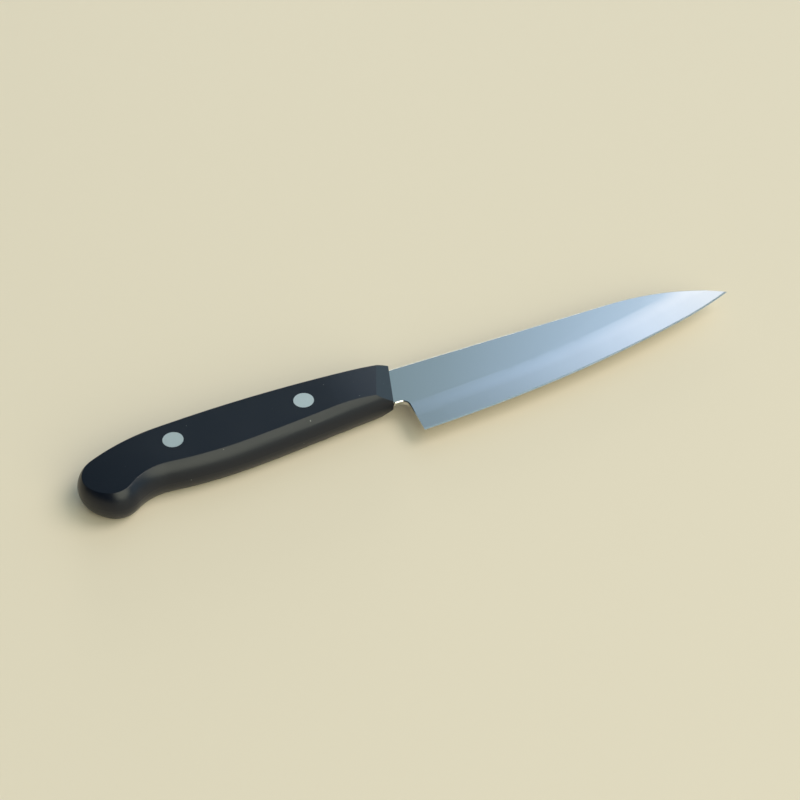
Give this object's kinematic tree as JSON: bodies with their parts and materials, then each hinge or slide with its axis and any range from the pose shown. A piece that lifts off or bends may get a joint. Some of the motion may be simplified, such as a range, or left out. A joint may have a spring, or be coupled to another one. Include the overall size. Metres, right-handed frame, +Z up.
{
  "type": "paring knife",
  "caption": "Small kitchen knife: straight-spined satin steel blade with ground sides and a square heel, in a dark riveted plastic handle with a beaked butt.",
  "frame": {"origin": "under the middle of the knife's length and height, on the surface that it lies on with the left side of its handle down", "axes": "+X along the spine to the point, +Y from the edge to the spine, +Z up through the thickness, from the left side of the handle to the right"},
  "size_m": [0.2251, 0.0318, 0.0128],
  "materials": {
    "blade_steel": "satin",
    "handle_plastic": "satin",
    "rivet_steel": "ground flush"
  },
  "bodies": {
    "root": {"blade": "blade_steel", "right_scale": "handle_plastic", "left_scale": "handle_plastic", "front_rivet_post": "rivet_steel", "front_rivet_socket": "rivet_steel", "rear_rivet_post": "rivet_steel", "rear_rivet_socket": "rivet_steel"}
  },
  "joints": []
}
